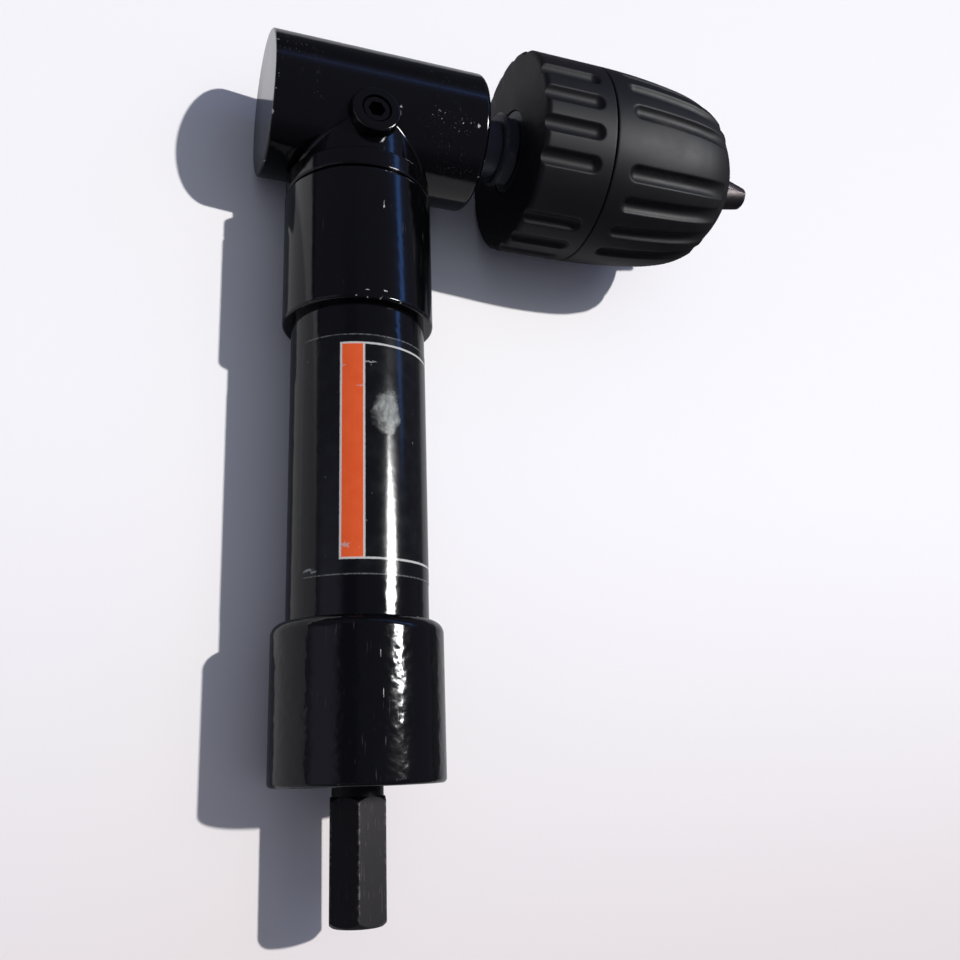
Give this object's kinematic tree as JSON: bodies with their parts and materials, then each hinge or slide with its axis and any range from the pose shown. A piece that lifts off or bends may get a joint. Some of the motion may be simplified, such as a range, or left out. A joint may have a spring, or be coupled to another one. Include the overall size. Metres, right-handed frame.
{
  "type": "right angle drill attachment",
  "caption": "Right-angle gear head on a straight black tube, with a hexagonal drive shank and a keyless drill chuck with fluted plastic sleeves.",
  "frame": {"origin": "centre of the hexagonal shank's free end face", "axes": "+Y along the input shaft to the head, +X along the output spindle to the chuck's nose, +Z out of the head's boss"},
  "size_m": [0.1156, 0.178, 0.043],
  "materials": {
    "black_enamel": "gloss black enamel",
    "black_oxide_steel": "black oxide, oiled",
    "black_plastic": "satin moulded",
    "bright_steel": "ground",
    "chuck_steel": "hardened, oiled",
    "bronze": "sintered bronze",
    "cage_plastic": "moulded nylon",
    "seal_rubber": "nitrile",
    "felt": "oiled felt"
  },
  "bodies": {
    "gear head": {"head_housing": "black_enamel", "rear_plug": "black_enamel", "grease_plug_screw": "black_oxide_steel", "coupling_sleeve": "black_enamel", "main_tube": "black_enamel", "end_cap": "black_enamel", "shaft_seal": "felt", "input_bearing_outer_ring": "bright_steel", "neck_bush": "bronze", "pinion_thrust_washer": "bronze", "spindle_thrust_disc": "bright_steel", "spindle_tail_bush": "bronze", "gear_thrust_washer": "bronze", "needle_bearing_ring": "bright_steel", "front_retaining_ring": "bright_steel", "spindle_seal": "seal_rubber"},
    "input shaft": {"input_shaft": "black_oxide_steel", "shaft_clip": "bright_steel", "input_bearing_inner_ring": "bright_steel", "drive_pinion": "bright_steel", "pinion_pin": "bright_steel"},
    "input ball set": {"input_bearing_balls": "bright_steel", "input_bearing_cage": "cage_plastic"},
    "spindle and chuck": {"output_spindle": "black_oxide_steel", "output_gear": "bright_steel", "output_gear_pin": "bright_steel", "chuck_body": "chuck_steel", "chuck_screw": "chuck_steel", "chuck_rear_sleeve": "black_plastic", "chuck_thrust_race": "chuck_steel"},
    "needle set": {"needle_rollers": "bright_steel", "needle_cage": "cage_plastic"},
    "chuck front sleeve": {"chuck_front_sleeve": "black_plastic", "chuck_split_nut": "chuck_steel", "chuck_nut_shell": "chuck_steel"},
    "jaw 1": {"chuck_jaw_1": "chuck_steel"},
    "jaw 2": {"chuck_jaw_2": "chuck_steel"},
    "jaw 3": {"chuck_jaw_3": "chuck_steel"}
  },
  "joints": [
    {"name": "output_spin", "type": "hinge", "parent": "gear head", "child": "spindle and chuck", "pos_m": [0.02, 0.1565, 0], "axis": [1, 0, 0], "continuous": true},
    {"name": "input_spin", "type": "hinge", "parent": "gear head", "child": "input shaft", "pos_m": [0, 0.03, 0], "axis": [0, 1, 0], "continuous": true},
    {"name": "input_ball_spin", "type": "hinge", "parent": "gear head", "child": "input ball set", "pos_m": [0, 0.0315, 0], "axis": [0, 1, 0], "continuous": true},
    {"name": "needle_spin", "type": "hinge", "parent": "gear head", "child": "needle set", "pos_m": [0.0177, 0.1565, 0], "axis": [1, 0, 0], "continuous": true},
    {"name": "sleeve_turn", "type": "hinge", "parent": "spindle and chuck", "child": "chuck front sleeve", "pos_m": [0.065, 0.1565, 0], "axis": [1, 0, 0], "range_deg": [0, 4416]},
    {"name": "jaw_1_slide", "type": "slide", "parent": "spindle and chuck", "child": "jaw 1", "axis": [-0.9659, 0.212, 0.1485], "range_m": [0, 0.01845]},
    {"name": "jaw_2_slide", "type": "slide", "parent": "spindle and chuck", "child": "jaw 2", "axis": [-0.9659, -0.2346, 0.1094], "range_m": [0, 0.01845]},
    {"name": "jaw_3_slide", "type": "slide", "parent": "spindle and chuck", "child": "jaw 3", "axis": [-0.9659, 0.0226, -0.2578], "range_m": [0, 0.01845]}
  ],
  "couplings": [
    {"joint": "input_spin", "follows": "output_spin", "ratio": 1},
    {"joint": "input_ball_spin", "follows": "output_spin", "ratio": 0.36778},
    {"joint": "needle_spin", "follows": "output_spin", "ratio": 0.42857},
    {"joint": "jaw_1_slide", "follows": "sleeve_turn", "m_per_rad": 0.00023873},
    {"joint": "jaw_2_slide", "follows": "sleeve_turn", "m_per_rad": 0.00023873},
    {"joint": "jaw_3_slide", "follows": "sleeve_turn", "m_per_rad": 0.00023873}
  ]
}
